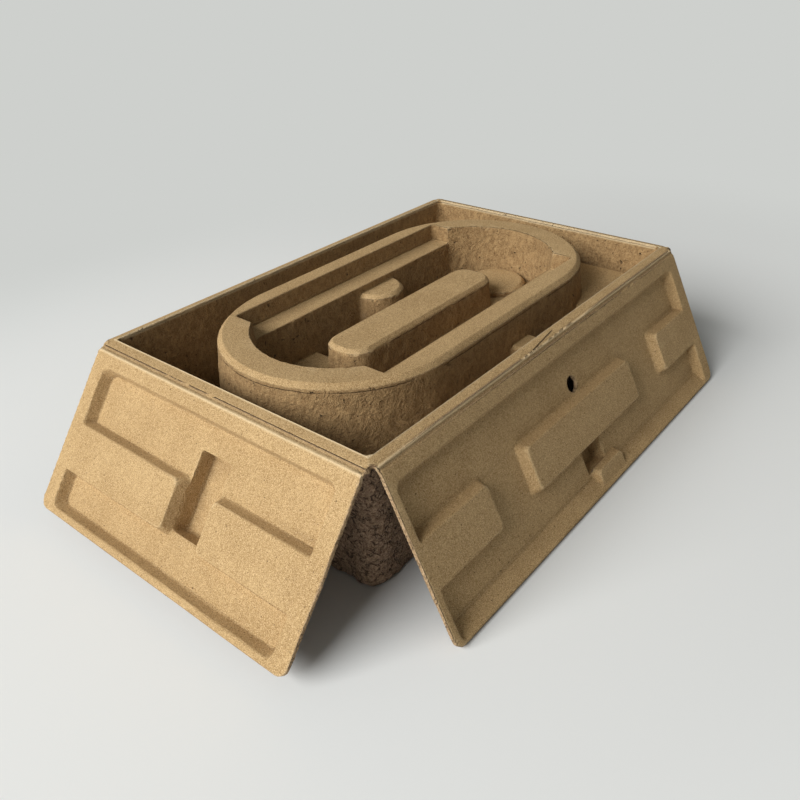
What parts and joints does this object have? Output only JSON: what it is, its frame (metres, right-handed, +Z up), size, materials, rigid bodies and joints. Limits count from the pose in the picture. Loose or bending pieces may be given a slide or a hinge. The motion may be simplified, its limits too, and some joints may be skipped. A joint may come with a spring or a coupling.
{
  "type": "moulded pulp shipper insert",
  "caption": "Moulded pulp carton insert: a deep rectangular tray with an oval walled well, a central rib, low bosses and splayed fold-down flaps with raised pads.",
  "frame": {"origin": "middle of the tray's base, on the surface it stands on", "axes": "+X along the tray's long side, +Z up out of the open tray"},
  "size_m": [0.488, 0.3244, 0.101],
  "materials": {
    "pulp": "matt brown moulded fibre, pressed smooth on the outer faces"
  },
  "bodies": {
    "root": {"pulp_insert": "pulp"}
  },
  "joints": []
}
